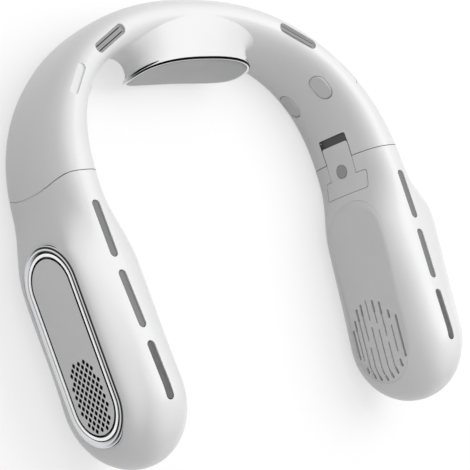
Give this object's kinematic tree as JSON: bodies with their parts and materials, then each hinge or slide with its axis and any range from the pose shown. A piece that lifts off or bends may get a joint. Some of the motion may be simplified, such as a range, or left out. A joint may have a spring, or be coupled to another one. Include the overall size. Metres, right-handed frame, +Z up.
{
  "type": "electric neck fan",
  "caption": "Electric neck fan: white band with a cooling plate, two hinged arms with slotted air outlets, a blower behind a slit grille in each arm, and a trimmed grey panel",
  "frame": {"origin": "Middle of the footprint, on the surface that the fan lies on", "axes": "+Z up from the flat lower edge to the slotted edge, +Y to the back of the band, arms to -Y, +X to the wearer's right arm of the picture"},
  "size_m": [0.2128, 0.1906, 0.053],
  "materials": {
    "white_shell": "satin white moulded plastic",
    "pale_cover": "fine matt pale grey plastic",
    "grey_panel": "fine sprayed matt grey",
    "chrome_trim": "bright plated trim",
    "black_trim": "black plastic",
    "dark_vent": "dark grey plastic",
    "cold_plate": "bead blasted anodised aluminium",
    "sink_alloy": "extruded aluminium",
    "ceramic": "white ceramic faces of the module",
    "pad_rubber": "pale grey silicone",
    "dark_rubber": "black foam rubber",
    "bright_steel": "plated steel",
    "impeller_white": "moulded white plastic",
    "battery_wrap": "blue shrink sleeve",
    "motor_can": "plated motor can",
    "circuit_green": "green solder mask",
    "button_white": "satin white plastic"
  },
  "bodies": {
    "band": {"band_outer_shell": "white_shell", "band_inner_shell": "white_shell", "cooling_rim": "chrome_trim", "cooling_plate": "cold_plate", "peltier_module": "ceramic", "heat_sink": "sink_alloy", "right_shoulder_vent": "dark_vent", "left_shoulder_vent": "dark_vent", "right_side_vent": "pale_cover", "left_side_vent": "pale_cover", "neck_pads": "pad_rubber", "hinge_pins": "bright_steel", "right_hinge_bracket": "bright_steel", "left_hinge_bracket": "bright_steel"},
    "right_arm": {"right_arm_housing": "white_shell", "right_arm_cover": "pale_cover", "right_arm_vents": "dark_vent", "right_hinge_leaf": "white_shell", "right_leaf_plug": "pad_rubber", "right_leaf_screw": "bright_steel", "right_hinge_arm": "bright_steel", "right_throat": "dark_vent", "right_trim_ring": "chrome_trim", "right_trim_base": "black_trim", "right_bezel": "white_shell", "right_outer_panel": "grey_panel", "right_blower_casing": "dark_vent", "right_casing_lid": "dark_vent", "right_inlet_gasket": "dark_rubber", "right_motor": "motor_can", "right_battery": "battery_wrap", "right_battery_pad": "dark_rubber", "right_board": "circuit_green", "right_switches": "dark_rubber", "right_charging_socket": "bright_steel"},
    "left_arm": {"left_arm_housing": "white_shell", "left_arm_cover": "pale_cover", "left_arm_vents": "dark_vent", "left_hinge_leaf": "white_shell", "left_leaf_plug": "pad_rubber", "left_leaf_screw": "bright_steel", "left_hinge_arm": "bright_steel", "left_throat": "dark_vent", "left_trim_ring": "chrome_trim", "left_trim_base": "black_trim", "left_bezel": "white_shell", "left_outer_panel": "grey_panel", "left_blower_casing": "dark_vent", "left_casing_lid": "dark_vent", "left_inlet_gasket": "dark_rubber", "left_motor": "motor_can", "left_battery": "battery_wrap", "left_battery_pad": "dark_rubber"},
    "right_fan": {"right_impeller": "impeller_white"},
    "left_fan": {"left_impeller": "impeller_white"},
    "power_button_body": {"power_button": "button_white"},
    "mode_button_body": {"mode_button": "button_white"}
  },
  "joints": [
    {"name": "right_arm_hinge", "type": "hinge", "parent": "band", "child": "right_arm", "pos_m": [0.09425, 0.01235, 0.02225], "axis": [0, 0, 1], "range_deg": [0, 15]},
    {"name": "left_arm_hinge", "type": "hinge", "parent": "band", "child": "left_arm", "pos_m": [-0.09425, 0.01235, 0.02225], "axis": [0, 0, -1], "range_deg": [0, 15]},
    {"name": "right_fan_spin", "type": "hinge", "parent": "right_arm", "child": "right_fan", "pos_m": [0.08074, -0.06763, 0.02629], "axis": [0.9976, -0.0698, 0], "continuous": true},
    {"name": "left_fan_spin", "type": "hinge", "parent": "left_arm", "child": "left_fan", "pos_m": [-0.08074, -0.06763, 0.02629], "axis": [-0.9976, -0.0698, 0], "continuous": true},
    {"name": "power_button_press", "type": "slide", "parent": "right_arm", "child": "power_button_body", "axis": [-0.9951, 0.0993, 0], "range_m": [0, 0.0008], "stiffness_N_per_m": 200},
    {"name": "mode_button_press", "type": "slide", "parent": "right_arm", "child": "mode_button_body", "axis": [-0.9951, 0.0993, 0], "range_m": [0, 0.0008], "stiffness_N_per_m": 200}
  ]
}
